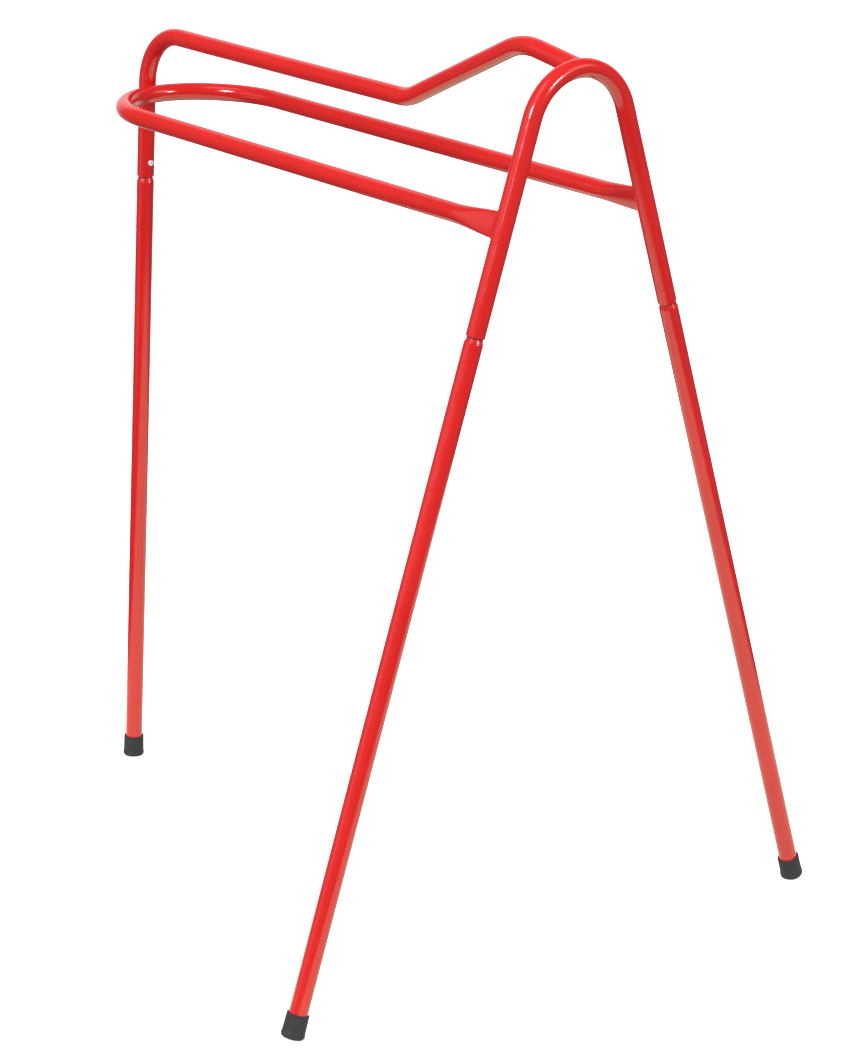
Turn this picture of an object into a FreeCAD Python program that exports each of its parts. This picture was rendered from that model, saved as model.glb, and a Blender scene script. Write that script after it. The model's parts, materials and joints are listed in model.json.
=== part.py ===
import FreeCAD
import Part
import math
import os

from FreeCAD import Placement, Rotation, Vector

# Knock-down three-legged saddle stand, in millimetres.
#
# A welded head of three bent tubes carries the saddle: a ridge tube, a hoop with two side rails and
# an inverted-U arch. Three straight legs with swaged necks plug into the open lower ends of the ridge
# tube and the arch. Each is held by a sprung button inside its neck, and ends in a rubber tip.
#
# +X runs from the single leg to the arch, +Z is up, and the stand is symmetric about Y = 0. Seen from
# the arch, looking towards the single leg, left is -Y. The origin is on the floor, at the middle of
# the stand's overall length.

# Tube stock, the same for every tube
TUBE_OD = 19.05
TUBE_WALL = 1.2
TUBE_R = TUBE_OD / 2
BORE_R = TUBE_R - TUBE_WALL

# Layout: the single leg's floor point to the arch's top, and how each leg leans
STAND_LENGTH = 772.8
SINGLE_TILT = 4.16
ARCH_SPLAY = 17.70
ARCH_RAKE = 1.36

# Arch: height of the centre line at its top, and the radius of its bend
ARCH_TOP = 903.0
ARCH_BEND_R = 60.5

# Ridge tube: corners of its centre line, with X counted back from the arch's top
FRONT_CORNER_Z = 851.8
DIP_BACK = 258.5
DIP_Z = 839.4
HUMP_BACK = 83.6
HUMP_Z = 917.4
RIDGE_END_Z = 902.4
RIDGE_END_BACK = 2.0
FRONT_BEND_R = 60.5
DIP_BEND_R = 60.5
HUMP_BEND_R = 76.0

# Hoop: two side rails, a little closer together at the bend that joins them. Each rail turns inwards
# at a shoulder, and the two meet in a tighter bend that rests against the single leg's tube.
RAIL_HALF_GAP = 91.9
RAIL_ARCH_Z = 763.2
RAIL_RISE = 1.70
SHOULDER_HALF_GAP = 87.8
SHOULDER_BACK = 53.9
SHOULDER_TURN = math.radians(46.4)
SHOULDER_BEND_R = 104.0
HOOP_BITE = 0.6

# The rails' ends are pressed flat, upright against the arch, with the tube's perimeter kept
FLAT_HALF_THICKNESS = 3.6
FLAT_TAPER = 57.0
FLAT_STRAIGHT = 8.0
FLAT_STEPS = 6
CROWN_ANGLE = math.radians(12.0)

# Legs: length from the tip's base to the socket's rim, and the swaged neck that goes into the socket
LEG_REACH = 692.5
NECK_R = 8.1
NECK_BORE_R = 6.9
NECK_SHOWING = 1.8
NECK_DEPTH = 50.0
CONE_LENGTH = 4.5

# Rubber tips: cups with a flared base, worn and pressed flat where they meet the floor
TIP_HEIGHT = 24.8
TIP_FLOOR = 4.5
TIP_TOP_R = 11.3
TIP_WAIST_R = 11.5
TIP_WAIST_Z = 8.0
TIP_BASE_R = 11.9
TIP_BASE_Z = 4.5
TIP_EDGE_R = 3.5
TIP_LIP_R = 0.7
TIP_SQUASH = 1.2

# Sprung buttons: heights are counted from the socket's rim, distances from the leg's axis
BUTTON_HEIGHT = 16.0
BUTTON_R = 3.2
BUTTON_TIP = 11.4
BUTTON_DOME_R = 1.5
COLLAR_R = 3.95
COLLAR_OUT = 4.8
COLLAR_IN = 4.0
BUTTON_HOLE_R = 3.45

# Leaf springs: a V of strip, with its bend down in the leg and the button on its front leaf
LEAF_WIDTH = 5.6
LEAF_THICKNESS = 0.6
LEAF_TOP = 24.0
LEAF_BACK_TOP = 20.0
LEAF_KNEE = -10.0
LEAF_BOTTOM = -32.0
LEAF_BACK_X = -5.6
LEAF_KNEE_R = 20.0
LEAF_TURN_R = 2.2

X_AXIS = Vector(1, 0, 0)
Y_AXIS = Vector(0, 1, 0)
Z_AXIS = Vector(0, 0, 1)


def rounded_path(corners, radii):
    """A wire of straight runs through the corners, with a tangent arc at each inner corner."""
    edges = []
    start = corners[0]
    for before, corner, after, radius in zip(corners, corners[1:], corners[2:], radii):
        into = (corner - before).normalize()
        away = (after - corner).normalize()
        turn = into.getAngle(away)
        setback = radius * math.tan(turn / 2)
        arc_start = corner - into * setback
        arc_end = corner + away * setback
        inward = (away - into).normalize()
        arc_middle = corner + inward * (radius / math.cos(turn / 2) - radius)
        edges.append(Part.LineSegment(start, arc_start).toShape())
        edges.append(Part.Arc(arc_start, arc_middle, arc_end).toShape())
        start = arc_end
    edges.append(Part.LineSegment(start, corners[-1]).toShape())
    return Part.Wire(edges)


def round_bar(path, radius):
    """A solid round bar along a path."""
    first = path.Edges[0]
    point = first.valueAt(first.FirstParameter)
    direction = first.tangentAt(first.FirstParameter)
    ring = Part.Wire(Part.Circle(point, direction, radius).toShape())
    return path.makePipeShell([ring], True, False)


def tip_offset(tilt):
    """How far up the leg's axis the tip's base lies above the floor, for a tip pressed TIP_SQUASH flat."""
    lean = math.radians(tilt)
    drop = TIP_EDGE_R * (1 - math.cos(lean)) + (TIP_BASE_R - TIP_EDGE_R) * math.sin(lean)
    return (drop - TIP_SQUASH) / math.cos(lean)


# Where things stand. The single tip's outer edge and the arch's back are equally far from the origin.
SINGLE_TIP_REACH = 11.7
ARCH_X = (STAND_LENGTH + SINGLE_TIP_REACH - TUBE_R) / 2
SINGLE_FOOT_X = ARCH_X - STAND_LENGTH
ARCH_TOP_RISE = ARCH_TOP / math.cos(math.radians(ARCH_RAKE))
ARCH_FOOT_X = ARCH_X - ARCH_TOP * math.tan(math.radians(ARCH_RAKE))
SPLAY = math.radians(ARCH_SPLAY)
BEND_START_Y = ARCH_BEND_R * math.cos(SPLAY)
BEND_START_RISE = ARCH_TOP_RISE - ARCH_BEND_R * (1 - math.sin(SPLAY))
FOOT_Y = BEND_START_Y + BEND_START_RISE * math.tan(SPLAY)
ARCH_LEG_TILT = math.degrees(math.acos(math.cos(SPLAY) * math.cos(math.radians(ARCH_RAKE))))
ARCH_PLACE = Placement(Vector(ARCH_FOOT_X, 0, 0), Rotation(Y_AXIS, ARCH_RAKE))
SINGLE_PLACE = Placement(Vector(SINGLE_FOOT_X, 0, 0), Rotation(Y_AXIS, SINGLE_TILT))


def arch_leg_place(side):
    """From leg coordinates, with Z up the leg from the floor, to the stand. side is +1 or -1 along Y."""
    return ARCH_PLACE * Placement(Vector(0, side * FOOT_Y, 0), Rotation(X_AXIS, side * ARCH_SPLAY))


# Each leg: its name, its placement, its tilt from upright, and the way its button faces in leg axes
LEGS = [
    ("single_leg", SINGLE_PLACE, SINGLE_TILT, 1),
    ("left_leg", arch_leg_place(-1), ARCH_LEG_TILT, -1),
    ("right_leg", arch_leg_place(1), ARCH_LEG_TILT, -1),
]


def base_place(place, tilt):
    """Moves a leg's placement up its axis, so that Z counts from the tip's base."""
    return place * Placement(Vector(0, 0, tip_offset(tilt)), Rotation())


def rim_place(place, tilt, facing):
    """A leg's placement at its socket's rim, turned so that +X is the way the button faces."""
    turn = Rotation(Z_AXIS, 0 if facing > 0 else 180)
    return base_place(place, tilt) * Placement(Vector(0, 0, LEG_REACH), turn)


def placed(shape, place):
    """A copy of a shape, moved to its place."""
    copy = shape.copy()
    copy.Placement = place * copy.Placement
    return copy


def rim_point(name):
    """The point on a leg's axis at its socket's rim."""
    for leg, place, tilt, facing in LEGS:
        if leg == name:
            return base_place(place, tilt).multVec(Vector(0, 0, LEG_REACH))


def button_hole(place, tilt, facing):
    """The bar that drills a socket's wall, or a neck's wall, for the button."""
    bar = Part.makeCylinder(BUTTON_HOLE_R, TUBE_OD, Vector(0, 0, BUTTON_HEIGHT), X_AXIS)
    return placed(bar, rim_place(place, tilt, facing))


def drilled(shape, names):
    """A shape with the button holes of the named legs."""
    for name, place, tilt, facing in LEGS:
        if name in names:
            shape = shape.cut(button_hole(place, tilt, facing))
    return shape


def arch_path():
    """The arch's centre line: up from the left socket, over the top and down to the right one."""
    to_arch = ARCH_PLACE.inverse()
    left = to_arch.multVec(rim_point("left_leg"))
    right = to_arch.multVec(rim_point("right_leg"))
    apex_rise = BEND_START_RISE + BEND_START_Y / math.tan(SPLAY)
    path = rounded_path([left, Vector(0, 0, apex_rise), right], [ARCH_BEND_R])
    return placed(path, ARCH_PLACE)


def ridge_path():
    """The ridge's centre line: up the single leg, along, down to the dip, over the hump to the arch."""
    lean = math.tan(math.radians(SINGLE_TILT))
    fall = (HUMP_Z - RIDGE_END_Z) / HUMP_BACK
    corners = [
        rim_point("single_leg"),
        Vector(SINGLE_FOOT_X + FRONT_CORNER_Z * lean, 0, FRONT_CORNER_Z),
        Vector(ARCH_X - DIP_BACK, 0, DIP_Z),
        Vector(ARCH_X - HUMP_BACK, 0, HUMP_Z),
        Vector(ARCH_X - RIDGE_END_BACK, 0, RIDGE_END_Z + RIDGE_END_BACK * fall),
    ]
    return rounded_path(corners, [FRONT_BEND_R, DIP_BEND_R, HUMP_BEND_R])


def hoop_place():
    """The hoop's own plane: X along the rails, with the origin midway between them at the arch."""
    drop = (ARCH_TOP - RAIL_ARCH_Z) * math.tan(math.radians(ARCH_RAKE))
    return Placement(Vector(ARCH_X - drop, 0, RAIL_ARCH_Z), Rotation(Y_AXIS, RAIL_RISE))


def hoop_reach():
    """How far the hoop's centre line goes back from the arch, to bite HOOP_BITE into the single tube."""
    place = hoop_place()
    rise = math.tan(math.radians(RAIL_RISE))
    lean = math.tan(math.radians(SINGLE_TILT))
    origin = place.Base
    run = origin.x - SINGLE_FOOT_X - origin.z * lean
    axis_distance = run / (1 + rise * lean)
    return axis_distance / math.cos(math.radians(RAIL_RISE)) - TUBE_OD + HOOP_BITE


def rail_place(side):
    """One rail's own axes in the hoop's plane: X along the rail, with the origin at the arch."""
    run = hoop_reach() - SHOULDER_BACK
    turn = math.degrees(math.atan((RAIL_HALF_GAP - SHOULDER_HALF_GAP) / run))
    return Placement(Vector(0, side * RAIL_HALF_GAP, 0), Rotation(Z_AXIS, side * turn))


def flat_ring(x, side, half_thickness, inset):
    """The tube's outline at x along a rail, pressed to a half thickness, moved in by inset.

    Two round caps and two crowned faces meet tangentially. The caps' centres lie a distance apart
    that keeps the tube's perimeter.
    """
    chord = math.sin(CROWN_ANGLE) / CROWN_ANGLE
    crown = math.tan(CROWN_ANGLE / 2)
    perimeter = math.pi * TUBE_OD
    cap = (half_thickness - crown * chord * perimeter / 4) / (1 - crown * chord * math.pi / 2)
    spread = max(chord * (perimeter - 2 * math.pi * cap) / 4, 0)
    face = cap + spread / math.sin(CROWN_ANGLE) - inset
    cap = cap - inset
    lean = math.radians(side * ARCH_SPLAY)
    tall = Vector(0, -math.sin(lean), math.cos(lean))
    thin = Vector(0, math.cos(lean), math.sin(lean))
    centre = Vector(x, 0, 0)
    face_back = spread / math.tan(CROWN_ANGLE)
    corner_tall = spread + cap * math.sin(CROWN_ANGLE)
    corner_thin = cap * math.cos(CROWN_ANGLE)

    def at(up, out):
        return centre + tall * up + thin * out

    corners = [(up, out) for up, out in ((-1, 1), (1, 1), (1, -1), (-1, -1))]
    points = [at(up * corner_tall, out * corner_thin) for up, out in corners]
    middles = [
        at(0, face - face_back),
        at(spread + cap, 0),
        at(0, face_back - face),
        at(-spread - cap, 0),
    ]
    ends = points[1:] + points[:1]
    arcs = [Part.Arc(a, middle, b).toShape() for a, middle, b in zip(points, middles, ends)]
    return Part.Wire(arcs)


def flat_end(side, inset):
    """The pressed end of one rail, from round tube to the arch, as a solid of its outline."""
    rings = []
    for step in range(FLAT_STEPS + 1):
        along = step / FLAT_STEPS
        ease = (along + along * along * (3 - 2 * along)) / 2
        half = TUBE_R + (FLAT_HALF_THICKNESS - TUBE_R) * ease
        rings.append(flat_ring(-FLAT_STRAIGHT - FLAT_TAPER * (1 - along), side, half, inset))
    taper = Part.makeLoft(rings, True, False)
    straight = Part.Face(rings[-1]).extrude(Vector(FLAT_STRAIGHT, 0, 0))
    return placed(taper.fuse(straight), rail_place(side))


def hoop_path():
    """The hoop's centre line between its pressed ends, in the hoop's own plane."""
    reach = hoop_reach()
    round_end = Vector(-FLAT_STRAIGHT - FLAT_TAPER, 0, 0)
    shoulder_x = SHOULDER_BACK - reach
    tip_x = shoulder_x - SHOULDER_HALF_GAP / math.tan(SHOULDER_TURN)
    tip_bend_r = (-reach - tip_x) / (1 / math.sin(SHOULDER_TURN) - 1)
    corners = [
        rail_place(-1).multVec(round_end),
        Vector(shoulder_x, -SHOULDER_HALF_GAP, 0),
        Vector(tip_x, 0, 0),
        Vector(shoulder_x, SHOULDER_HALF_GAP, 0),
        rail_place(1).multVec(round_end),
    ]
    return rounded_path(corners, [SHOULDER_BEND_R, tip_bend_r, SHOULDER_BEND_R])


def hoop_solid(radius):
    """The hoop's bar with its two pressed ends, in the hoop's own plane."""
    inset = TUBE_R - radius
    bar = round_bar(hoop_path(), radius)
    return bar.fuse([flat_end(-1, inset), flat_end(1, inset)])


def make_arch():
    """The inverted-U tube, with its two sockets drilled for buttons."""
    path = arch_path()
    tube = round_bar(path, TUBE_R).cut(round_bar(path, BORE_R))
    return drilled(tube, ["left_leg", "right_leg"])


def make_ridge(arch_bar):
    """The ridge tube, coped to the arch and drilled for the single leg's button."""
    path = ridge_path()
    tube = round_bar(path, TUBE_R).cut(round_bar(path, BORE_R))
    return drilled(tube.cut(arch_bar), ["single_leg"])


def make_hoop(arch_bar, ridge_bar):
    """The hoop, with its pressed ends coped to the arch and its bend nicked by the single tube."""
    tube = hoop_solid(TUBE_R).cut(hoop_solid(BORE_R))
    return placed(tube, hoop_place()).cut(arch_bar).cut(ridge_bar)


def make_leg(place, tilt, facing):
    """A leg tube with its swaged neck, open at both ends and drilled for the button."""
    cone_top = LEG_REACH - NECK_SHOWING
    cone_foot = cone_top - CONE_LENGTH
    neck_top = LEG_REACH + NECK_DEPTH
    profile = [
        (BORE_R, TIP_FLOOR),
        (TUBE_R, TIP_FLOOR),
        (TUBE_R, cone_foot),
        (NECK_R, cone_top),
        (NECK_R, neck_top),
        (NECK_BORE_R, neck_top),
        (NECK_BORE_R, cone_top),
        (BORE_R, cone_foot),
    ]
    outline = Part.makePolygon([Vector(r, 0, z) for r, z in profile + profile[:1]])
    tube = Part.Face(outline).revolve(Vector(0, 0, 0), Z_AXIS, 360)
    return placed(tube, base_place(place, tilt)).cut(button_hole(place, tilt, facing))


def make_tip(place, tilt):
    """A rubber cup over the leg's end, trimmed level where it stands on the floor."""
    bore_z = TIP_FLOOR
    edge_z = TIP_EDGE_R
    bend = math.sqrt(0.5)
    corner = Vector(TIP_BASE_R - TIP_EDGE_R, 0, edge_z)
    base_in = Vector(corner.x, 0, 0)
    base_out = Vector(TIP_BASE_R, 0, edge_z)
    edge_middle = corner + Vector(bend, 0, -bend) * TIP_EDGE_R
    lip = Vector(TIP_TOP_R - TIP_LIP_R, 0, TIP_HEIGHT - TIP_LIP_R)
    lip_out = lip + Vector(TIP_LIP_R, 0, 0)
    lip_in = lip + Vector(0, 0, TIP_LIP_R)
    lip_middle = lip + Vector(bend, 0, bend) * TIP_LIP_R
    flare_top = Vector(TIP_WAIST_R, 0, TIP_WAIST_Z)
    flare_foot = Vector(TIP_BASE_R, 0, TIP_BASE_Z)
    bore_top = Vector(TUBE_R, 0, TIP_HEIGHT)
    bore_foot = Vector(TUBE_R, 0, bore_z)
    edges = [
        Part.LineSegment(Vector(0, 0, 0), base_in),
        Part.Arc(base_in, edge_middle, base_out),
        Part.LineSegment(base_out, flare_foot),
        Part.LineSegment(flare_foot, flare_top),
        Part.LineSegment(flare_top, lip_out),
        Part.Arc(lip_out, lip_middle, lip_in),
        Part.LineSegment(lip_in, bore_top),
        Part.LineSegment(bore_top, bore_foot),
        Part.LineSegment(bore_foot, Vector(0, 0, bore_z)),
        Part.LineSegment(Vector(0, 0, bore_z), Vector(0, 0, 0)),
    ]
    outline = Part.Wire([edge.toShape() for edge in edges])
    cup = Part.Face(outline).revolve(Vector(0, 0, 0), Z_AXIS, 360)
    cup = placed(cup, base_place(place, tilt))
    size = 4 * TIP_BASE_R
    foot = place.Base
    below = Part.makeBox(size, size, size, Vector(foot.x - size / 2, foot.y - size / 2, -size))
    return cup.cut(below)


def make_button(place, tilt, facing):
    """A domed pin with a collar behind the neck's wall."""
    head = Part.makeCylinder(BUTTON_R, BUTTON_TIP - COLLAR_IN, Vector(COLLAR_IN, 0, 0), X_AXIS)
    rims = [edge for edge in head.Edges if abs(edge.BoundBox.XMin - BUTTON_TIP) < 0.001]
    head = head.makeFillet(BUTTON_DOME_R, rims)
    collar = Part.makeCylinder(COLLAR_R, COLLAR_OUT - COLLAR_IN, Vector(COLLAR_IN, 0, 0), X_AXIS)
    pin = head.fuse(collar).removeSplitter()
    return placed(pin, rim_place(place, tilt, facing) * Placement(Vector(0, 0, BUTTON_HEIGHT), Rotation()))


def make_spring(place, tilt, facing):
    """A V-shaped leaf spring: its front leaf backs the button, its back leaf bears on the neck."""
    front_x = COLLAR_IN - LEAF_THICKNESS / 2
    corners = [
        Vector(front_x, 0, LEAF_TOP),
        Vector(front_x, 0, LEAF_KNEE),
        Vector(0, 0, LEAF_BOTTOM),
        Vector(LEAF_BACK_X, 0, LEAF_BACK_TOP),
    ]
    path = rounded_path(corners, [LEAF_KNEE_R, LEAF_TURN_R])
    half_x = LEAF_THICKNESS / 2
    half_y = LEAF_WIDTH / 2
    strip = Part.makePolygon([
        Vector(front_x - half_x, -half_y, LEAF_TOP),
        Vector(front_x + half_x, -half_y, LEAF_TOP),
        Vector(front_x + half_x, half_y, LEAF_TOP),
        Vector(front_x - half_x, half_y, LEAF_TOP),
        Vector(front_x - half_x, -half_y, LEAF_TOP),
    ])
    leaf = path.makePipeShell([strip], True, False)
    return placed(leaf, rim_place(place, tilt, facing))


def single_solid(shape):
    """The one solid of a shape."""
    if len(shape.Solids) != 1:
        raise ValueError("expected one solid, found %d" % len(shape.Solids))
    return shape.Solids[0]


def build():
    """Every node of the stand, by name."""
    arch_bar = round_bar(arch_path(), TUBE_R)
    ridge_bar = round_bar(ridge_path(), TUBE_R)
    nodes = {
        "rear_arch": make_arch(),
        "ridge_tube": make_ridge(arch_bar),
        "saddle_hoop": make_hoop(arch_bar, ridge_bar),
    }
    for name, place, tilt, facing in LEGS:
        nodes[name + "_tube"] = make_leg(place, tilt, facing)
        nodes[name + "_rubber_tip"] = make_tip(place, tilt)
        nodes[name + "_button"] = make_button(place, tilt, facing)
        nodes[name + "_leaf_spring"] = make_spring(place, tilt, facing)
    return nodes


os.makedirs("parts", exist_ok=True)
for node, solid in build().items():
    single_solid(solid).exportStep("parts/" + node + ".step")
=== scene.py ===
import json
import math
import random

import bpy
from mathutils import Euler, Matrix, Vector
from mathutils.bvhtree import BVHTree


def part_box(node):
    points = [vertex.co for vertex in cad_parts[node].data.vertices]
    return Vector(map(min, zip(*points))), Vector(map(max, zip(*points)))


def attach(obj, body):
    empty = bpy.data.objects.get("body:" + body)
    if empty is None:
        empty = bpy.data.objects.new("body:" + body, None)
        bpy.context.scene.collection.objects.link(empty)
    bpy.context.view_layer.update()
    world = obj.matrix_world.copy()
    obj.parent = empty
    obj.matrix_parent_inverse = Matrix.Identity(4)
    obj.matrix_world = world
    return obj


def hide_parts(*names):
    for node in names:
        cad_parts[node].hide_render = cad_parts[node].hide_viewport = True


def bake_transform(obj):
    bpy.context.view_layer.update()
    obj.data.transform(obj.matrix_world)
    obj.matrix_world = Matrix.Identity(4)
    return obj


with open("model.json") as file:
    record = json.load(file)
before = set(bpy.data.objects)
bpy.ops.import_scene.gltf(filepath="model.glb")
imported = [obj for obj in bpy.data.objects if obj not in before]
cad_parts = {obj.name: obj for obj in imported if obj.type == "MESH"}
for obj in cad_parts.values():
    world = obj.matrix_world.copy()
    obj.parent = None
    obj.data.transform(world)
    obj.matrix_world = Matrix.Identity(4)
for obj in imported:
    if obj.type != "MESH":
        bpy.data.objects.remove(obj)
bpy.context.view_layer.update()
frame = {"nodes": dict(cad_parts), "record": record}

# The looks of a three-legged, knock-down saddle stand round its CAD frame: materials for the tubes and
# buttons, detailed rubber tips and leaf springs in place of their plain solids, and the welded head's beads.
# Angles are in degrees and lengths in metres, unless a comment says otherwise. Azimuth 0 stands at -Y and
# 90 at +X.

# Camera: where it stands, how it is turned, and its lens and sensor in millimetres
CAMERA_PLACE = Vector((2.97836, -2.26638, 1.47947))
CAMERA_DOWN = 16.603
CAMERA_YAW = 51.303
CAMERA_LENS = 126.09
CAMERA_SENSOR = 36.0

# Lights: two soft lamps either side of the camera, as azimuth, elevation, width and strength
LEFT_LAMP = (15.0, 27.0, 16.0, 1.45)
RIGHT_LAMP = (108.0, 18.0, 12.0, 1.0)

# The sky's brightness at the horizon and straight up, and what it gains towards two sides, as azimuth,
# elevation and brightness
SKY_LOW = 0.34
SKY_HIGH = 0.95
SKY_SIDES = [(28.0, 22.0, 0.80), (231.0, 20.0, 0.85)]

# What gloss mirrors: a dim room, with pale screens as azimuth, elevation, reach and brightness. The core is
# the share of a screen's reach that has its full brightness.
DARK_ROOM = 0.10
SCREEN_CORE = 0.3
SCREENS = [
    (-24.0, 18.0, 29.0, 0.65),
    (-52.0, 4.0, 40.0, 0.06),
    (125.0, 6.0, 40.0, 0.13),
    (231.0, 8.0, 52.0, 0.8),
    (8.0, 58.0, 24.0, 1.6),
    (130.0, 27.0, 17.0, 1.8),
]

# The floor: how bright it looks and how much light it sends up. In gloss, a bright sheet lies under the
# stand, and between two distances the rest turns from dark to the room's light.
FLOOR_RADIUS = 40.0
FLOOR_GLOW = 0.6
FLOOR_BOUNCE = 0.45
PAPER_CENTRE = Vector((0.25, 0.15, 0.0))
PAPER_RADIUS = 1.0
PAPER_FADE = 0.15
PAPER_COLOUR = (1.35, 1.5, 1.15, 1)
FAR_FLOOR = (0.9, 2.2)

# Powder coat: how strongly it mirrors, how wide its chipped edges are, and the heights above a socket's
# rim over which the nicks on the rim end and the neck's rubbing, the dull shoulder and the painted shade
# under the rim begin
PAINT_IOR = 1.6
EDGE_WEAR = 0.0007
RIM_NICKS_END = (0.0002, 0.0011)
RUBBING_START = (0.0002, 0.003)
SHOULDER_START = (-0.0045, -0.0035)
RIM_SHADE_START = (-0.0026, -0.0006)

# The cosines between a rounded and a plain normal where a worn edge is strongest and where it ends
EDGE_TURN = (0.80, 0.985)

# The tube's outer radius, how deep a neck goes in its socket, and how far a CAD end's points may lie apart
TUBE_R = 0.009525
NECK_DEPTH = 0.050
END_TOLERANCE = 0.00005

# The rubber tips: heights from the base along the leg, and radii
TIP_FLOOR = 0.0045
TIP_HEIGHT = 0.0248
TIP_TOP_R = 0.0113
TIP_WAIST_R = 0.0115
TIP_WAIST_Z = 0.008
TIP_BASE_R = 0.0119
TIP_BASE_Z = 0.0045
TIP_EDGE_R = 0.0035
TIP_LIP_R = 0.0007
TIP_GRIP = 0.0001
TIP_MOUTH = 0.0004
TIP_BORE_EDGE = 0.0003
TIP_SIDES = 96

# The grooves in a tip's base, and the faint one under its lip: radius or drop, half width and depth
BASE_GROOVE_RADII = (0.0030, 0.0055)
BASE_GROOVE_HALF = 0.0006
BASE_GROOVE_DEPTH = 0.0005
LIP_GROOVE_DROP = 0.00235
LIP_GROOVE_HALF = 0.00045
LIP_GROOVE_DEPTH = 0.00022

# The buttons' leaf springs: heights from the socket's rim along the leg, and distances in front of its axis
# and behind it. The bend starts at the bottom and ends a little below the button.
BUTTON_HEIGHT = 0.016
LEAF_WIDTH = 0.0056
LEAF_THICKNESS = 0.0006
LEAF_FRONT = 0.0037
LEAF_TOP = 0.024
LEAF_BACK_TOP = 0.020
LEAF_KNEE = -0.010
LEAF_BOTTOM = -0.032
LEAF_BACK = -0.0056
LEAF_TURN_R = 0.0022
LEAF_KNEE_REACH = 0.011
LEAF_FRONT_TURN = 100.0
LEAF_BACK_TURN = 84.0
LEAF_CORNER_R = 0.0009

# The weld beads: how far they reach over each tube, how full they are, their ripples, how much these wander,
# how far a seam leans along its tube, and how much a bead narrows where the two surfaces merge
WELD_REACH = 0.0025
WELD_BULGE = 0.00015
WELD_SINK = 0.0003
WELD_RIPPLE = 0.0016
WELD_RIPPLE_HEIGHT = 0.00005
WELD_REACH_DRIFT = 0.05
WELD_BULGE_DRIFT = 0.2
WELD_STEPS = 9
WELD_SIDES = 144
WELD_SEEDS = {"ridge_weld": 11, "left_rail_weld": 21, "right_rail_weld": 31, "hoop_weld": 41}
SEAM_LEAN = 0.35
SEAM_MERGE = 0.6

# Where the beads lie: how far before a tube's end its seam is looked for, half the thickness of a pressed
# rail end, the rails' rise towards the single leg, and the round spot where the hoop bites into the ridge
WELD_START = 0.008
FLAT_HALF = 0.0036
RAIL_RISE = 1.7
CROSSING_BITE = 0.0006
CROSSING_SEAM = 0.0034
CROSSING_REACH = 0.0036

# Where rays start that look for the tubes: from a tube's axis, above or in front of the hoop, and beside it
FROM_AXIS = 0.03
CLEAR_OF_HOOP = 0.1
BESIDE_HOOP = 0.2

LEGS = ("single_leg", "left_leg", "right_leg")


def slide_axis(joint_name):
    """The unit direction that a slide moves its body in."""
    for joint in frame["record"]["behaviour"]["joints"]:
        if joint["name"] == joint_name:
            return Vector(joint["axis"]).normalized()


def end_centre(node, direction):
    """The middle of a CAD node's flat end, the furthest end in a direction."""
    points = [v.co for v in frame["nodes"][node].data.vertices]
    far = max(p.dot(direction) for p in points)
    end = [p for p in points if far - p.dot(direction) < END_TOLERANCE]
    low = Vector(map(min, *end))
    high = Vector(map(max, *end))
    return (low + high) / 2


def leg_axes(name):
    """A leg's own axes, at its socket's rim and at its tip's base: Z goes up the leg, X the way its
    button faces."""
    up = -slide_axis(name + "_pull")
    out = -slide_axis(name + "_button_press")
    turn = Matrix((out, up.cross(out), up)).transposed().to_4x4()
    rim = end_centre(name + "_tube", up) - up * NECK_DEPTH
    base = end_centre(name + "_tube", -up) - up * TIP_FLOOR
    return Matrix.Translation(rim) @ turn, Matrix.Translation(base) @ turn


RIM = {name: leg_axes(name)[0] for name in LEGS}
BASE = {name: leg_axes(name)[1] for name in LEGS}


# ---------------------------------------------------------------- materials

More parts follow.
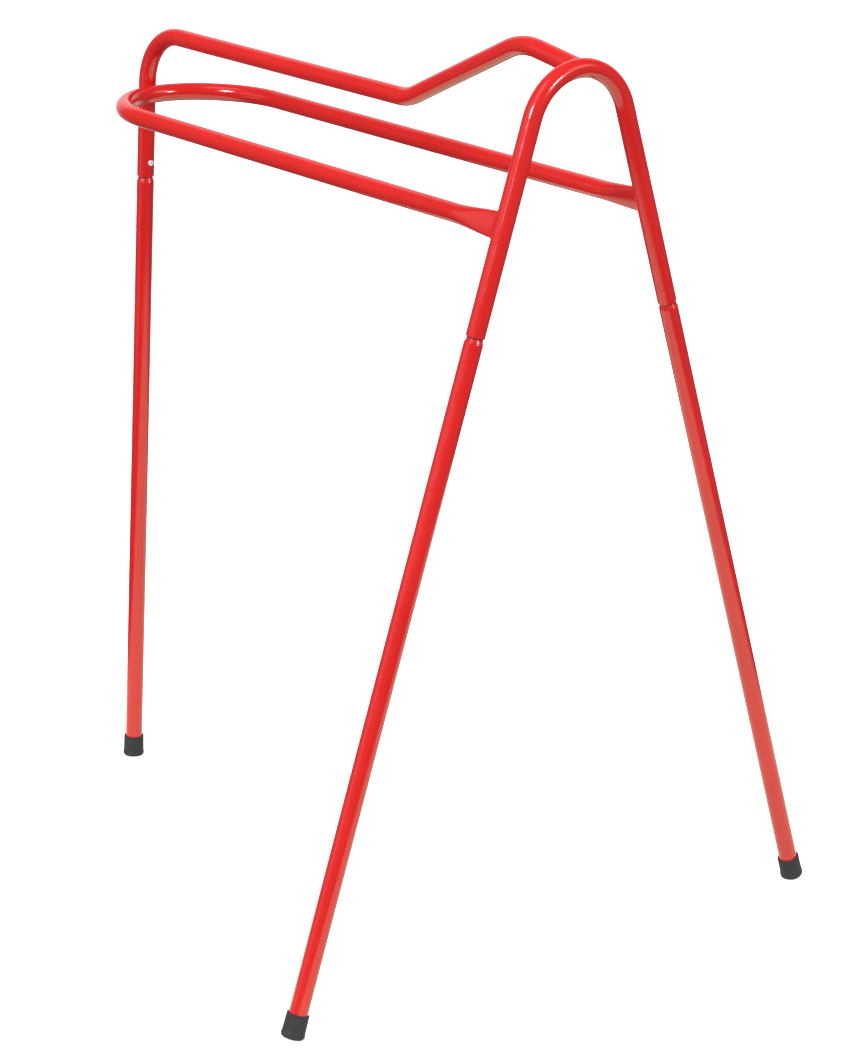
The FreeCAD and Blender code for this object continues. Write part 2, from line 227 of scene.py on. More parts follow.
class Tree:
    """A material's node tree, with short ways to add and join its nodes."""

    def __init__(self, name):
        self.material = bpy.data.materials.new(name)
        self.material.use_nodes = True
        self.tree = self.material.node_tree
        self.tree.nodes.clear()
        self.shader = self.tree.nodes.new("ShaderNodeBsdfPrincipled")
        output = self.tree.nodes.new("ShaderNodeOutputMaterial")
        self.join(self.shader.outputs["BSDF"], output.inputs["Surface"])
        self.place = self.tree.nodes.new("ShaderNodeTexCoord").outputs["Object"]

    @classmethod
    def of(cls, tree):
        """The same short ways for another tree, cleared."""
        t = cls.__new__(cls)
        t.tree = tree
        t.tree.nodes.clear()
        return t

    def join(self, a, b):
        """Links a socket to a socket, or sets a socket to a number."""
        if isinstance(a, bpy.types.NodeSocket):
            self.tree.links.new(a, b)
        else:
            b.default_value = a

    def math(self, operation, a, b=0.0, c=0.0):
        """A number worked out from up to three sockets or numbers."""
        node = self.tree.nodes.new("ShaderNodeMath")
        node.operation = operation
        for value, socket in zip((a, b, c), node.inputs):
            self.join(value, socket)
        return node.outputs["Value"]

    def vector(self, operation, a, b, output="Vector"):
        """A vector sum, product or length."""
        node = self.tree.nodes.new("ShaderNodeVectorMath")
        node.operation = operation
        for value, socket in zip((a, b), node.inputs):
            self.join(value, socket)
        return node.outputs[output]

    def scaled(self, a, factor):
        """A vector times a number."""
        node = self.tree.nodes.new("ShaderNodeVectorMath")
        node.operation = "SCALE"
        self.join(a, node.inputs[0])
        self.join(factor, node.inputs["Scale"])
        return node.outputs["Vector"]

    def noise(self, scale, detail=2.0, roughness=0.5, at=None):
        """Noise from 0 to 1 at the surface's own place, or at another vector."""
        node = self.tree.nodes.new("ShaderNodeTexNoise")
        node.inputs["Scale"].default_value = scale
        node.inputs["Detail"].default_value = detail
        node.inputs["Roughness"].default_value = roughness
        self.join(self.place if at is None else at, node.inputs["Vector"])
        return node.outputs["Fac"]

    def ramp(self, fac, low, high, from_low=0.0, from_high=1.0):
        """Maps a number smoothly from one range to another, held at both ends."""
        node = self.tree.nodes.new("ShaderNodeMapRange")
        node.interpolation_type = "SMOOTHSTEP"
        for value, name in ((fac, "Value"), (from_low, "From Min"), (from_high, "From Max"),
                            (low, "To Min"), (high, "To Max")):
            self.join(value, node.inputs[name])
        return node.outputs["Result"]

    def mix(self, fac, a, b):
        """A colour between two colours. A Mix node has its colour sockets at inputs 6 and 7 and output 2."""
        node = self.tree.nodes.new("ShaderNodeMix")
        node.data_type = "RGBA"
        self.join(fac, node.inputs[0])
        self.join(a, node.inputs[6])
        self.join(b, node.inputs[7])
        return node.outputs[2]

    def bump(self, height, strength, distance):
        """A bumped normal."""
        node = self.tree.nodes.new("ShaderNodeBump")
        node.inputs["Strength"].default_value = strength
        node.inputs["Distance"].default_value = distance
        self.join(height, node.inputs["Height"])
        return node.outputs["Normal"]

    def edges(self, radius):
        """1 along sharp edges and 0 away from them."""
        bevel = self.tree.nodes.new("ShaderNodeBevel")
        bevel.samples = 4
        bevel.inputs["Radius"].default_value = radius
        plain = self.tree.nodes.new("ShaderNodeNewGeometry")
        turn = self.vector("DOT_PRODUCT", bevel.outputs["Normal"], plain.outputs["Normal"], "Value")
        return self.ramp(turn, 1.0, 0.0, *EDGE_TURN)

    def height(self, axes):
        """How far up a leg the surface lies from the origin of the leg's own axes."""
        up = axes.col[2].to_3d()
        reach = self.vector("DOT_PRODUCT", self.place, tuple(up), "Value")
        return self.math("SUBTRACT", reach, axes.translation.dot(up))

    def drawn(self, axes, height, stretch):
        """The surface's place, squeezed along a leg so that noise is drawn out along it."""
        up = axes.col[2].to_3d()
        back = self.scaled(tuple(up), self.math("MULTIPLY", height, stretch))
        return self.vector("SUBTRACT", self.place, back)

    def finish_with(self, **sockets):
        """Joins the shader's inputs and gives the material."""
        for name, value in sockets.items():
            self.join(value, self.shader.inputs[name.replace("_", " ")])
        return self.material


def worn_rim(t, chip, axes):
    """Paint nicked just above a socket's rim, added to the chipped edges."""
    near = t.ramp(t.height(axes), 1.0, 0.0, *RIM_NICKS_END)
    nick = t.ramp(t.noise(700.0, 3.0, 0.6), 0.0, 0.8, 0.55, 0.66)
    return t.math("MAXIMUM", chip, t.math("MULTIPLY", t.math("MULTIPLY", near, nick), 0.6))


def neck_wear_and_shade(t, red, rough, chip, axes):
    """A leg's neck, rubbed to bare steel in lengthwise streaks, with a duller shoulder below the socket's
    rim and painted shade in the groove between them: a dark band that stands for the rim's shadow. Gives the
    new colour, roughness and chips."""
    up = t.height(axes)
    streak = t.noise(900.0, 4.0, 0.65, at=t.drawn(axes, up, 0.93))
    inside = t.ramp(up, 0.0, 1.0, *RUBBING_START)
    outside = t.math("SUBTRACT", 1.0, inside)
    rubbed = t.math("MULTIPLY", inside, t.ramp(streak, 0.0, 1.0, 0.50, 0.66))
    chip = t.math("MAXIMUM", chip, rubbed)
    rough = t.math("ADD", rough, t.math("MULTIPLY", inside, t.ramp(streak, 0.0, 0.14, 0.3, 0.7)))
    shoulder = t.math("MULTIPLY", t.ramp(up, 0.0, 1.0, *SHOULDER_START), outside)
    rough = t.math("ADD", rough, t.math("MULTIPLY", shoulder, 0.10))
    # Painted shade: a dark red band just under the socket's rim, standing for the rim's shadow on the
    # shoulder.
    under_rim = t.math("MULTIPLY", t.ramp(up, 0.0, 1.0, *RIM_SHADE_START), outside)
    painted_shade = t.math("MULTIPLY", under_rim, t.ramp(t.noise(150.0, 3.0), 0.55, 1.0, 0.35, 0.6))
    return t.mix(painted_shade, red, (0.10, 0.006, 0.006, 1)), rough, chip


def red_powder_coat(name, rim=None, neck=None):
    """Glossy red powder coat: orange peel, a slow drift of colour and gloss, specks, and paint worn thin
    on sharp edges. The axes of a leg, given as a socket's rim or as a neck, say where else it wears; a neck
    also gets painted shade under its socket's rim."""
    t = Tree(name)
    drift = t.noise(7.0, 2.0)
    cloud = t.noise(55.0, 3.0)
    speck = t.noise(1500.0, 1.0)
    red = t.mix(t.ramp(drift, 0.0, 1.0, 0.3, 0.7), (0.545, 0.0105, 0.0095, 1), (0.60, 0.0125, 0.011, 1))
    red = t.mix(t.ramp(cloud, 0.0, 0.22, 0.45, 0.8), red, (0.50, 0.0095, 0.009, 1))
    red = t.mix(t.ramp(speck, 0.0, 0.16, 0.60, 0.80), red, (0.66, 0.03, 0.026, 1))
    rough = t.math("ADD", t.ramp(cloud, 0.12, 0.18, 0.3, 0.75), t.ramp(drift, 0.0, 0.03, 0.35, 0.65))

    chipped = t.ramp(t.noise(420.0, 4.0, 0.6), 0.0, 1.0, 0.57, 0.68)
    chip = t.math("MULTIPLY", t.edges(EDGE_WEAR), chipped)
    if rim is not None:
        chip = worn_rim(t, chip, rim)
    if neck is not None:
        red, rough, chip = neck_wear_and_shade(t, red, rough, chip, neck)

    steel = t.mix(t.noise(300.0, 3.0), (0.30, 0.29, 0.28, 1), (0.46, 0.45, 0.44, 1))
    colour = t.mix(chip, red, steel)
    peel = t.noise(430.0, 2.0, 0.45)
    fine = t.noise(1300.0, 1.0)
    height = t.math("SUBTRACT", t.math("MULTIPLY_ADD", fine, 0.25, peel), t.math("MULTIPLY", chip, 0.8))
    t.join(PAINT_IOR, t.shader.inputs["IOR"])
    return t.finish_with(
        Base_Color=colour,
        Roughness=t.math("ADD", rough, t.math("MULTIPLY", chip, 0.22)),
        Metallic=t.math("MULTIPLY", chip, 0.9),
        Normal=t.bump(height, 0.30, 0.00009),
    )


def black_rubber(name, axes):
    """Moulded charcoal rubber: fine grain, dust, and scuffs where it meets the floor."""
    t = Tree(name)
    grain = t.noise(2200.0, 2.0)
    cloud = t.noise(160.0, 3.0)
    scuff = t.ramp(t.noise(620.0, 4.0, 0.65), 0.0, 1.0, 0.50, 0.70)
    low = t.ramp(t.height(axes), 1.0, 0.0, 0.001, 0.009)
    colour = t.mix(t.ramp(cloud, 0.0, 1.0, 0.3, 0.7), (0.031, 0.029, 0.033, 1), (0.040, 0.038, 0.042, 1))
    pale = t.math("MULTIPLY", t.ramp(grain, 0.0, 1.0, 0.45, 0.75), 0.5)
    colour = t.mix(pale, colour, (0.056, 0.054, 0.058, 1))
    worn = t.math("MULTIPLY", low, scuff)
    worn = t.math("MAXIMUM", worn, t.math("MULTIPLY", t.edges(0.0009), t.math("MULTIPLY", scuff, 0.6)))
    colour = t.mix(t.math("MULTIPLY", worn, 0.6), colour, (0.10, 0.097, 0.092, 1))
    height = t.math("SUBTRACT", t.math("MULTIPLY_ADD", cloud, 0.8, grain), t.math("MULTIPLY", worn, 0.5))
    t.join(0.14, t.shader.inputs["Specular IOR Level"])
    return t.finish_with(
        Base_Color=colour,
        Roughness=t.math("MULTIPLY_ADD", worn, 0.18, t.ramp(cloud, 0.50, 0.62, 0.3, 0.7)),
        Normal=t.bump(height, 0.5, 0.00008),
    )


def plated_steel(name, axes):
    """Bright plated steel, turned: fine rings round the button's axis, faint haze and small scratches."""
    t = Tree(name)
    axis = axes.col[0].to_3d()
    middle = axes @ Vector((0, 0, BUTTON_HEIGHT))
    across = t.vector("SUBTRACT", t.place, tuple(middle))
    reach = t.vector("DOT_PRODUCT", across, tuple(axis), "Value")
    radial = t.vector("SUBTRACT", across, t.scaled(tuple(axis), reach))
    radius = t.vector("LENGTH", radial, (0, 0, 0), "Value")
    ring = t.noise(9000.0, 2.0, at=t.scaled((1, 0, 0), radius))
    haze = t.noise(500.0, 3.0)
    scratch = t.ramp(t.noise(1800.0, 4.0, 0.7), 0.0, 1.0, 0.60, 0.66)
    worn = t.math("MULTIPLY", t.edges(0.0004), 0.5)
    colour = t.mix(t.ramp(haze, 0.0, 1.0, 0.3, 0.7), (0.84, 0.82, 0.83, 1), (0.93, 0.91, 0.92, 1))
    colour = t.mix(t.math("MAXIMUM", worn, t.math("MULTIPLY", scratch, 0.25)), colour, (0.60, 0.58, 0.55, 1))
    height = t.math("ADD", t.math("MULTIPLY", ring, 0.7), t.math("MULTIPLY", scratch, -0.4))
    return t.finish_with(
        Base_Color=colour,
        Metallic=0.5,
        Roughness=t.math("ADD", t.ramp(haze, 0.24, 0.34, 0.3, 0.75), t.math("MULTIPLY", scratch, 0.12)),
        Normal=t.bump(height, 0.25, 0.00003),
    )


def spring_steel(name, axes):
    """Rolled spring strip: lengthwise grain, a faint straw tint and dull patches."""
    t = Tree(name)
    grain = t.noise(2600.0, 3.0, 0.6, at=t.drawn(axes, t.height(axes), 0.95))
    patch = t.noise(180.0, 3.0)
    colour = t.mix(t.ramp(patch, 0.0, 1.0, 0.35, 0.7), (0.46, 0.455, 0.45, 1), (0.50, 0.45, 0.38, 1))
    colour = t.mix(t.ramp(grain, 0.0, 0.35, 0.4, 0.8), colour, (0.62, 0.61, 0.60, 1))
    colour = t.mix(t.math("MULTIPLY", t.edges(0.0003), 0.4), colour, (0.66, 0.65, 0.64, 1))
    return t.finish_with(
        Base_Color=colour,
        Metallic=1.0,
        Roughness=t.math("ADD", t.ramp(grain, 0.24, 0.36, 0.3, 0.7), t.ramp(patch, 0.0, 0.08, 0.4, 0.7)),
        Normal=t.bump(grain, 0.3, 0.00003),
    )


def paint(node, material):
    """Gives a CAD node its material."""
    frame["nodes"][node].material_slots[0].material = material


# ---------------------------------------------------------------- pieces

def piece(name, vertices, faces, material, body=None):
    """A smooth-shaded mesh piece that takes a slot's finish and may ride on a body."""
    mesh = bpy.data.meshes.new(name)
    mesh.from_pydata(vertices, [], faces)
    mesh.validate()
    mesh.polygons.foreach_set("use_smooth", [True] * len(mesh.polygons))
    mesh.materials.append(material)
    thing = bpy.data.objects.new(name, mesh)
    bpy.context.scene.collection.objects.link(thing)
    if body:
        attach(thing, body)
    return thing


def ring_faces(rings, sides, closed):
    """Quads between rings of points, each with the same number of sides. If closed, the last ring is
    joined to the first."""
    faces = []
    for i in range(rings if closed else rings - 1):
        j = (i + 1) % rings
        for k in range(sides):
            n = (k + 1) % sides
            faces.append((i * sides + k, i * sides + n, j * sides + n, j * sides + k))
    return faces


def arc(centre, radius, start, end, steps):
    """Points of an arc in a leg's section, as (radius, height)."""
    points = []
    for i in range(steps + 1):
        angle = math.radians(start + (end - start) * i / steps)
        points.append((centre[0] + radius * math.cos(angle), centre[1] + radius * math.sin(angle)))
    return points


def tip_profile():
    """The tip's section from the middle of its base round to the middle of its bore: a grooved base, a
    rounded edge, a waist, a wall with a faint groove under its lip, and a bore that grips the tube."""
    points = []
    for radius in BASE_GROOVE_RADII:
        for share, depth in ((-1, 0), (-0.5, BASE_GROOVE_DEPTH), (0.5, BASE_GROOVE_DEPTH), (1, 0)):
            points.append((radius + BASE_GROOVE_HALF * share, depth))
    points += arc((TIP_BASE_R - TIP_EDGE_R, TIP_EDGE_R), TIP_EDGE_R, -90, 0, 10)
    points.append((TIP_BASE_R, TIP_BASE_Z))
    waist_steps = 8
    for i in range(1, waist_steps + 1):
        s = i / waist_steps
        ease = s * s * (3 - 2 * s)
        radius = TIP_BASE_R + (TIP_WAIST_R - TIP_BASE_R) * ease
        points.append((radius, TIP_BASE_Z + (TIP_WAIST_Z - TIP_BASE_Z) * s))
    top = TIP_HEIGHT - TIP_LIP_R
    for share in (0.30, 0.45, 0.60, 0.72):
        radius = TIP_WAIST_R + (TIP_TOP_R - TIP_WAIST_R) * share
        points.append((radius, TIP_WAIST_Z + (top - TIP_WAIST_Z) * share))
    for share, depth in ((-1, 0), (-1 / 3, LIP_GROOVE_DEPTH), (1 / 3, LIP_GROOVE_DEPTH), (1, 0)):
        points.append((TIP_TOP_R - depth, top - LIP_GROOVE_DROP + LIP_GROOVE_HALF * share))
    points += arc((TIP_TOP_R - TIP_LIP_R, top), TIP_LIP_R, 0, 90, 6)
    bore = TUBE_R - TIP_GRIP
    points += [
        (TUBE_R + TIP_MOUTH, TIP_HEIGHT),
        (TUBE_R + TIP_MOUTH / 4, TIP_HEIGHT - TIP_MOUTH / 2),
        (bore, TIP_HEIGHT - TIP_MOUTH * 1.5),
        (bore, TIP_FLOOR + TIP_BORE_EDGE),
        (bore - TIP_BORE_EDGE, TIP_FLOOR),
    ]
    return points


def rubber_tip(name, material):
    """A moulded rubber tip, pressed flat where it stands on the floor."""
    place = BASE[name]
    profile = tip_profile()
    vertices = []
    for radius, height in profile:
        for k in range(TIP_SIDES):
            angle = 2 * math.pi * k / TIP_SIDES
            point = place @ Vector((radius * math.cos(angle), radius * math.sin(angle), height))
            vertices.append((point.x, point.y, max(point.z, 0.0)))
    faces = ring_faces(len(profile), TIP_SIDES, False)
    foot = len(vertices)
    middle = place @ Vector((0, 0, 0))
    inner = place @ Vector((0, 0, TIP_FLOOR))
    vertices += [(middle.x, middle.y, max(middle.z, 0.0)), tuple(inner)]
    last = (len(profile) - 1) * TIP_SIDES
    for k in range(TIP_SIDES):
        n = (k + 1) % TIP_SIDES
        faces.append((foot, n, k))
        faces.append((foot + 1, last + k, last + n))
    thing = piece(name + "_tip", vertices, faces, material, name)
    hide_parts(name + "_rubber_tip")


def leaf_turn(side, degrees):
    """Points of the V's rounded bottom, from its lowest point up to one side."""
    middle = Vector((0, LEAF_BOTTOM + LEAF_TURN_R))
    steps = 8
    points = []
    for i in range(steps + 1):
        angle = math.radians(degrees) * i / steps
        out = side * LEAF_TURN_R * math.sin(angle)
        points.append(middle + Vector((out, -LEAF_TURN_R * math.cos(angle))))
    return points


def go_straight(points, end, steps):
    """Adds points in a straight line from a line's last point to its new end."""
    start = points[-1]
    for i in range(1, steps + 1):
        points.append(start.lerp(end, i / steps))


def leaf_line():
    """The middle line of the V-shaped spring in its socket's section, split at the lowest point of its turn:
    the front leaf's points up from there, and the back leaf's."""
    front = leaf_turn(1, LEAF_FRONT_TURN)
    knee = Vector((LEAF_FRONT, LEAF_KNEE))
    start = knee - (knee - front[-1]).normalized() * LEAF_KNEE_REACH
    end = knee + Vector((0, LEAF_KNEE_REACH))
    go_straight(front, start, 6)
    knee_steps = 12
    for i in range(1, knee_steps + 1):
        s = i / knee_steps
        front.append(start.lerp(knee, s).lerp(knee.lerp(end, s), s))
    go_straight(front, Vector((LEAF_FRONT, LEAF_TOP)), 8)
    back = leaf_turn(-1, LEAF_BACK_TURN)
    go_straight(back, Vector((LEAF_BACK, LEAF_BACK_TOP)), 14)
    return front, back


def leaf(name, points, place, material):
    """A strip of spring steel along a line, with rounded long edges and a rounded end."""
    half = LEAF_THICKNESS / 2
    sides = []
    edge_steps = 4
    for sign in (1, -1):
        for i in range(edge_steps + 1):
            angle = math.pi * (i / edge_steps) - math.pi / 2
            reach = LEAF_WIDTH / 2 - half + half * math.cos(angle)
            sides.append((sign * reach, sign * half * math.sin(angle)))
    vertices = []
    length = sum((b - a).length for a, b in zip(points, points[1:]))
    gone = 0.0
    for i, p in enumerate(points):
        before = points[max(i - 1, 0)]
        after = points[min(i + 1, len(points) - 1)]
        way = (after - before).normalized()
        flat = Vector((-way.y, way.x))
        left = max(length - gone, 0.0)
        narrow = 1.0
        if left < LEAF_CORNER_R:
            cut = 1 - math.sqrt(1 - (1 - left / LEAF_CORNER_R) ** 2)
            narrow = 1 - cut * LEAF_CORNER_R / (LEAF_WIDTH / 2)
        for across, thick in sides:
            q = p + flat * thick
            vertices.append(tuple(place @ Vector((q.x, across * narrow, q.y))))
        if i + 1 < len(points):
            gone += (points[i + 1] - p).length
    count = len(sides)
    faces = ring_faces(len(points), count, False)
    faces.append(tuple(range(count))[::-1])
    last = (len(points) - 1) * count
    faces.append(tuple(last + k for k in range(count)))
    return piece(name, vertices, faces, material)


def rounded_end(points):
    """A line with extra points close to its end, so that the strip's corners can be round."""
    last = points[-1]
    way = (last - points[-2]).normalized()
    shares = (1.0, 0.7, 0.45, 0.25, 0.1, 0.0)
    return points[:-1] + [last - way * LEAF_CORNER_R * share for share in shares]


def springs(name):
    """A leg's V spring: the front leaf is left on no body, the back leaf stays with the leg."""
    place = RIM[name]
    material = spring_steel(name + "_spring_steel", place)
    front, back = leaf_line()
    front_leaf = leaf(name + "_front_leaf", rounded_end(front), place, material)
    back_leaf = leaf(name + "_back_leaf", rounded_end(back), place, material)
    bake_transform(front_leaf)
    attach(back_leaf, name)
    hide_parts(name + "_leaf_spring")


def surface(node):
    """A CAD node's surface, to find places on it."""
    mesh = frame["nodes"][node].data
    mesh.calc_loop_triangles()
    triangles = [tuple(t.vertices) for t in mesh.loop_triangles]
    return BVHTree.FromPolygons([v.co.copy() for v in mesh.vertices], triangles)


def bead(name, seam, a, b):
    """A weld bead round a closed seam between two surfaces. Each part of the seam is its point, the way over
    each surface, how far the bead reaches, and the way that its face looks. The section runs from one
    surface, over a slightly full face, to the other."""
    chance = random.Random(WELD_SEEDS[name])
    length = sum((seam[i][0] - seam[i - 1][0]).length for i in range(len(seam)))
    ripples = int(length / WELD_RIPPLE)
    wander = [chance.uniform(-1, 1) for _ in range(ripples)]
    vertices = []
    for i, (point, a_way, b_way, reach, face) in enumerate(seam):
        turn = i / len(seam) * ripples
        before = wander[int(turn) % ripples]
        after = wander[(int(turn) + 1) % ripples]
        drift = before + (after - before) * (turn % 1)
        feet = []
        for way, solid in ((a_way, a), (b_way, b)):
            spot, normal, _, _ = solid.find_nearest(point + way * reach * (1 + WELD_REACH_DRIFT * drift))
            feet.append(spot - normal * WELD_SINK)
        ripple = WELD_RIPPLE_HEIGHT * math.cos(2 * math.pi * turn)
        full = (WELD_BULGE * (1 + WELD_BULGE_DRIFT * drift) + ripple) * reach / WELD_REACH
        crown = (feet[0] + feet[1]) / 2 + face * (WELD_SINK + full) * 2
        for k in range(WELD_STEPS):
            s = k / (WELD_STEPS - 1)
            vertices.append(tuple(feet[0].lerp(crown, s).lerp(crown.lerp(feet[1], s), s)))
        vertices.append(tuple(point - face * WELD_SINK))
    faces = ring_faces(len(seam), WELD_STEPS + 1, True)
    piece(name, vertices, faces, PAINT, "frame")


def butt_seam(tube, wall, start, way, run):
    """The seam where a tube's end meets another tube's wall. Rays find the tube's outline round a point
    on its axis, then run along the axis to the wall. Where the surfaces merge, the bead is narrower."""
    across = way.orthogonal().normalized()
    up = across.cross(way)
    seam = []
    for k in range(WELD_SIDES):
        angle = 2 * math.pi * k / WELD_SIDES
        out = across * math.cos(angle) + up * math.sin(angle)
        skin, normal, _, _ = tube.ray_cast(start + out * FROM_AXIS, -out)
        hit, wall_normal, _, _ = wall.ray_cast(skin, way, run)
        if hit is None:
            hit, wall_normal, _, _ = wall.find_nearest(skin + way * run)
        away = out + way * SEAM_LEAN
        flat = (away - wall_normal * away.dot(wall_normal)).normalized()
        merged = max(normal.dot(wall_normal), 0)
        reach = WELD_REACH * (1 - SEAM_MERGE * merged * merged)
        seam.append((hit, -way, flat, reach, (normal + wall_normal).normalized()))
    return seam


def weld_ridge(ridge, arch):
    """The bead where the ridge tube's end meets the arch's top."""
    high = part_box("rear_arch")[1]
    x = high.x - 2 * TUBE_R - WELD_START
    upper = ridge.ray_cast(Vector((x, 0, high.z + TUBE_R)), Vector((0, 0, -1)))[0]
    lower = ridge.ray_cast(Vector((x, 0, high.z - 6 * TUBE_R)), Vector((0, 0, 1)))[0]
    ahead = ridge.ray_cast(Vector((x + WELD_START / 2, 0, high.z + TUBE_R)), Vector((0, 0, -1)))[0]
    way = (ahead - upper).normalized()
    seam = butt_seam(ridge, arch, (upper + lower) / 2, way, WELD_START + TUBE_R)
    bead("ridge_weld", seam, ridge, arch)


def weld_rail(name, side, hoop, arch):
    """The bead where one pressed rail end meets the arch."""
    low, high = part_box("saddle_hoop")
    x = high.x - WELD_START
    middle = (low.z + high.z) / 2
    outer = hoop.ray_cast(Vector((x, side * BESIDE_HOOP, low.z + 2 * TUBE_R)), Vector((0, -side, 0)))[0]
    y = outer.y - side * FLAT_HALF
    upper = hoop.ray_cast(Vector((x, y, middle + CLEAR_OF_HOOP)), Vector((0, 0, -1)))[0]
    lower = hoop.ray_cast(Vector((x, y, middle - CLEAR_OF_HOOP)), Vector((0, 0, 1)))[0]
    rise = math.radians(RAIL_RISE)
    way = Vector((math.cos(rise), 0, -math.sin(rise)))
    seam = butt_seam(hoop, arch, (upper + lower) / 2, way, WELD_START + TUBE_R / 2)
    bead(name, seam, hoop, arch)


def weld_crossing(hoop, ridge):
    """The bead round the spot where the hoop's bend crosses the single leg's socket tube."""
    low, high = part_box("saddle_hoop")
    front = hoop.ray_cast(Vector((low.x - CLEAR_OF_HOOP, 0, high.z - TUBE_R)), Vector((1, 0, 0)))[0]
    spot = Vector((front.x + CROSSING_BITE / 2, 0, high.z - TUBE_R))
    across = RIM["single_leg"].col[1].to_3d()
    up = RIM["single_leg"].col[2].to_3d()
    seam = []
    for k in range(WELD_SIDES):
        angle = 2 * math.pi * k / WELD_SIDES
        out = across * math.cos(angle) + up * math.sin(angle)
        seam.append((spot + out * CROSSING_SEAM, out, out, CROSSING_REACH, out))
    bead("hoop_weld", seam, hoop, ridge)


# ---------------------------------------------------------------- studio

def camera():
    """The camera, at the height and turn that show the stand from its near corner."""
    data = bpy.data.cameras.new("camera")
    data.lens = CAMERA_LENS
    data.sensor_width = CAMERA_SENSOR
    thing = bpy.data.objects.new("camera", data)
    thing.location = CAMERA_PLACE
    thing.rotation_euler = Euler((math.radians(90 - CAMERA_DOWN), 0, math.radians(CAMERA_YAW)))
    bpy.context.scene.collection.objects.link(thing)
    bpy.context.scene.camera = thing


def lamp(name, azimuth, elevation, width, strength):
    """A far, soft lamp. Its width is the angle that it fills."""
    data = bpy.data.lights.new(name, "SUN")
    data.energy = strength
    data.angle = math.radians(width)
    thing = bpy.data.objects.new(name, data)
    thing.rotation_euler = Euler((math.radians(90 - elevation), 0, math.radians(azimuth)))
    bpy.context.scene.collection.objects.link(thing)


def direction(azimuth, elevation):
    """The direction towards a point of the room."""
    a = math.radians(azimuth)
    e = math.radians(elevation)
    return Vector((math.sin(a) * math.cos(e), -math.cos(a) * math.cos(e), math.sin(e)))


def room_light(t, way):
    """How bright the room is along a direction, as gloss mirrors it."""
    light = DARK_ROOM
    for azimuth, elevation, reach, brightness in SCREENS:
        facing = t.vector("DOT_PRODUCT", way, tuple(direction(azimuth, elevation)), "Value")
        edge = math.cos(math.radians(reach))
        full = math.cos(math.radians(reach * SCREEN_CORE))
        light = t.math("ADD", light, t.ramp(facing, 0.0, brightness, edge, full))
    return light


def by_ray(t, plain, mirrored):
    """The shader that the eye and soft light see, and the one that gloss mirrors."""
    ray = t.tree.nodes.new("ShaderNodeLightPath")
    mix = t.tree.nodes.new("ShaderNodeMixShader")
    t.join(ray.outputs["Is Glossy Ray"], mix.inputs["Fac"])
    t.join(plain, mix.inputs[1])
    t.join(mirrored, mix.inputs[2])
    return mix.outputs["Shader"]


def sky():
    """A soft light from all round, stronger from above and from two sides. In gloss the room is dim."""
    world = bpy.data.worlds.new("sky")
    world.use_nodes = True
    t = Tree.of(world.node_tree)
    way = t.tree.nodes.new("ShaderNodeTexCoord").outputs["Generated"]
    height = t.vector("DOT_PRODUCT", way, (0, 0, 1), "Value")
    soft = t.tree.nodes.new("ShaderNodeBackground")
    light = t.ramp(height, SKY_LOW, SKY_HIGH)
    for azimuth, elevation, brightness in SKY_SIDES:
        facing = t.vector("DOT_PRODUCT", way, tuple(direction(azimuth, elevation)), "Value")
        light = t.math("ADD", light, t.ramp(facing, 0.0, brightness))
    t.join(light, soft.inputs["Strength"])
    room = t.tree.nodes.new("ShaderNodeBackground")
    t.join(room_light(t, way), room.inputs["Strength"])
    output = t.tree.nodes.new("ShaderNodeOutputWorld")
    t.join(by_ray(t, soft.outputs[0], room.outputs[0]), output.inputs["Surface"])
    for thing in (soft, room):
        thing.inputs["Color"].default_value = (1, 1, 1, 1)
    bpy.context.scene.world = world


def floor_seen(t):
    """The floor's plain look: pale and matt to the eye, and a soft glow to all other light."""
    t.join((0.9, 0.9, 0.9, 1), t.shader.inputs["Base Color"])
    t.join(0.9, t.shader.inputs["Roughness"])
    t.join(0.0, t.shader.inputs["Specular IOR Level"])
    t.join((1, 1, 1, 1), t.shader.inputs["Emission Color"])
    t.join(FLOOR_GLOW, t.shader.inputs["Emission Strength"])
    bounce = t.tree.nodes.new("ShaderNodeEmission")
    t.join(FLOOR_BOUNCE, bounce.inputs["Strength"])
    ray = t.tree.nodes.new("ShaderNodeLightPath")
    mix = t.tree.nodes.new("ShaderNodeMixShader")
    t.join(ray.outputs["Is Camera Ray"], mix.inputs["Fac"])
    t.join(bounce.outputs["Emission"], mix.inputs[1])
    t.join(t.shader.outputs["BSDF"], mix.inputs[2])
    return mix.outputs["Shader"]


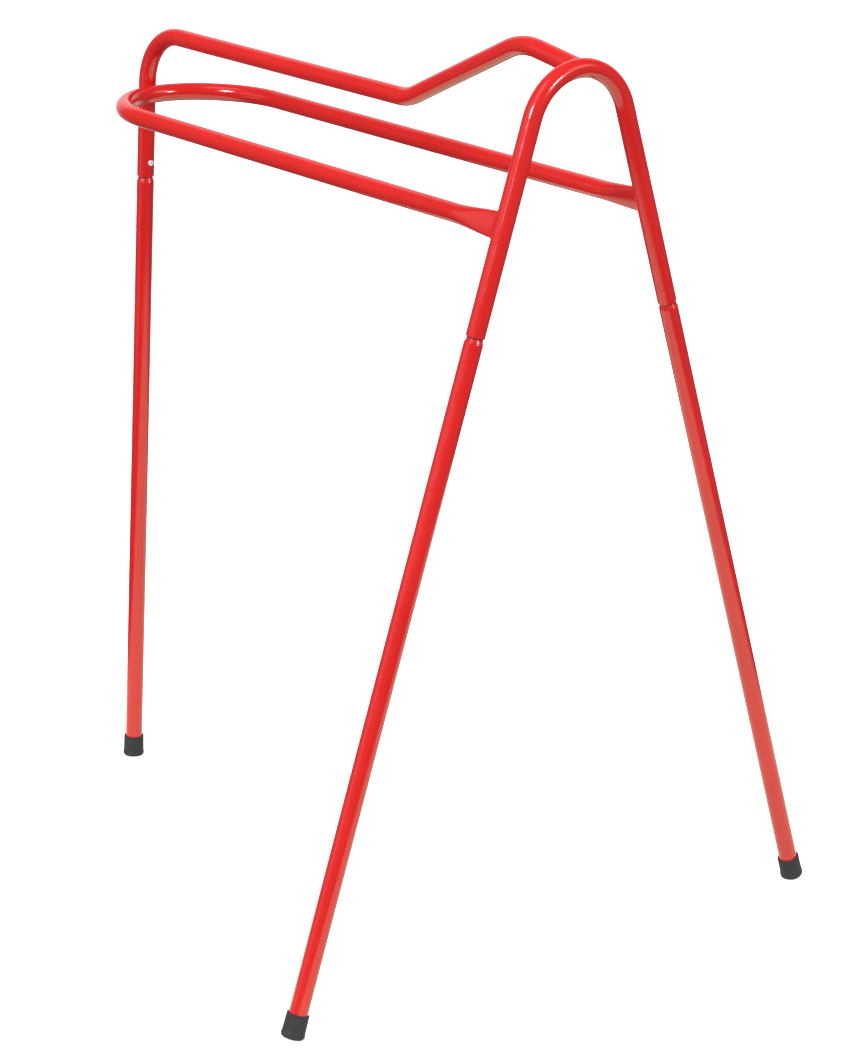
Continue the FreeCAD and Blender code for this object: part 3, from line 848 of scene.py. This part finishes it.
def floor_mirrored(t):
    """The floor in gloss: a bright sheet under the stand, and a floor that is dark near it and as bright as
    the room further out."""
    reach = t.vector("LENGTH", t.vector("SUBTRACT", t.place, tuple(PAPER_CENTRE)), (0, 0, 0), "Value")
    near = t.ramp(reach, 1.0, 0.0, PAPER_RADIUS - PAPER_FADE, PAPER_RADIUS + PAPER_FADE)
    way = t.vector("NORMALIZE", t.place, (0, 0, 0))
    far = t.ramp(t.vector("LENGTH", t.place, (0, 0, 0), "Value"), 0.0, 1.0, *FAR_FLOOR)
    light = t.ramp(far, DARK_ROOM, room_light(t, way))
    glow = t.tree.nodes.new("ShaderNodeEmission")
    t.join(t.mix(near, (1, 1, 1, 1), PAPER_COLOUR), glow.inputs["Color"])
    t.join(t.math("MAXIMUM", light, near), glow.inputs["Strength"])
    return glow.outputs["Emission"]


def floor():
    """A wide, plain floor."""
    t = Tree("floor_paint")
    output = next(n for n in t.tree.nodes if n.type == "OUTPUT_MATERIAL")
    t.join(by_ray(t, floor_seen(t), floor_mirrored(t)), output.inputs["Surface"])
    mesh = bpy.data.meshes.new("floor")
    r = FLOOR_RADIUS
    mesh.from_pydata([(-r, -r, 0), (r, -r, 0), (r, r, 0), (-r, r, 0)], [], [(0, 1, 2, 3)])
    mesh.materials.append(t.material)
    thing = bpy.data.objects.new("floor", mesh)
    bpy.context.scene.collection.objects.link(thing)


bpy.context.scene.view_settings.view_transform = "Standard"
camera()
sky()
lamp("left_lamp", *LEFT_LAMP)
lamp("right_lamp", *RIGHT_LAMP)
floor()

PAINT = red_powder_coat("red_powder_coat_weld")
paint("ridge_tube", red_powder_coat("red_powder_coat_ridge", rim=RIM["single_leg"]))
paint("saddle_hoop", PAINT)
paint("rear_arch", red_powder_coat("red_powder_coat_arch"))
for leg in LEGS:
    paint(leg + "_tube", red_powder_coat("red_powder_coat_" + leg, neck=RIM[leg]))
    paint(leg + "_button", plated_steel(leg + "_button_plate", RIM[leg]))
    rubber_tip(leg, black_rubber(leg + "_rubber", BASE[leg]))
    springs(leg)

RIDGE = surface("ridge_tube")
ARCH = surface("rear_arch")
HOOP = surface("saddle_hoop")
weld_ridge(RIDGE, ARCH)
weld_rail("left_rail_weld", -1, HOOP, ARCH)
weld_rail("right_rail_weld", 1, HOOP, ARCH)
weld_crossing(HOOP, RIDGE)
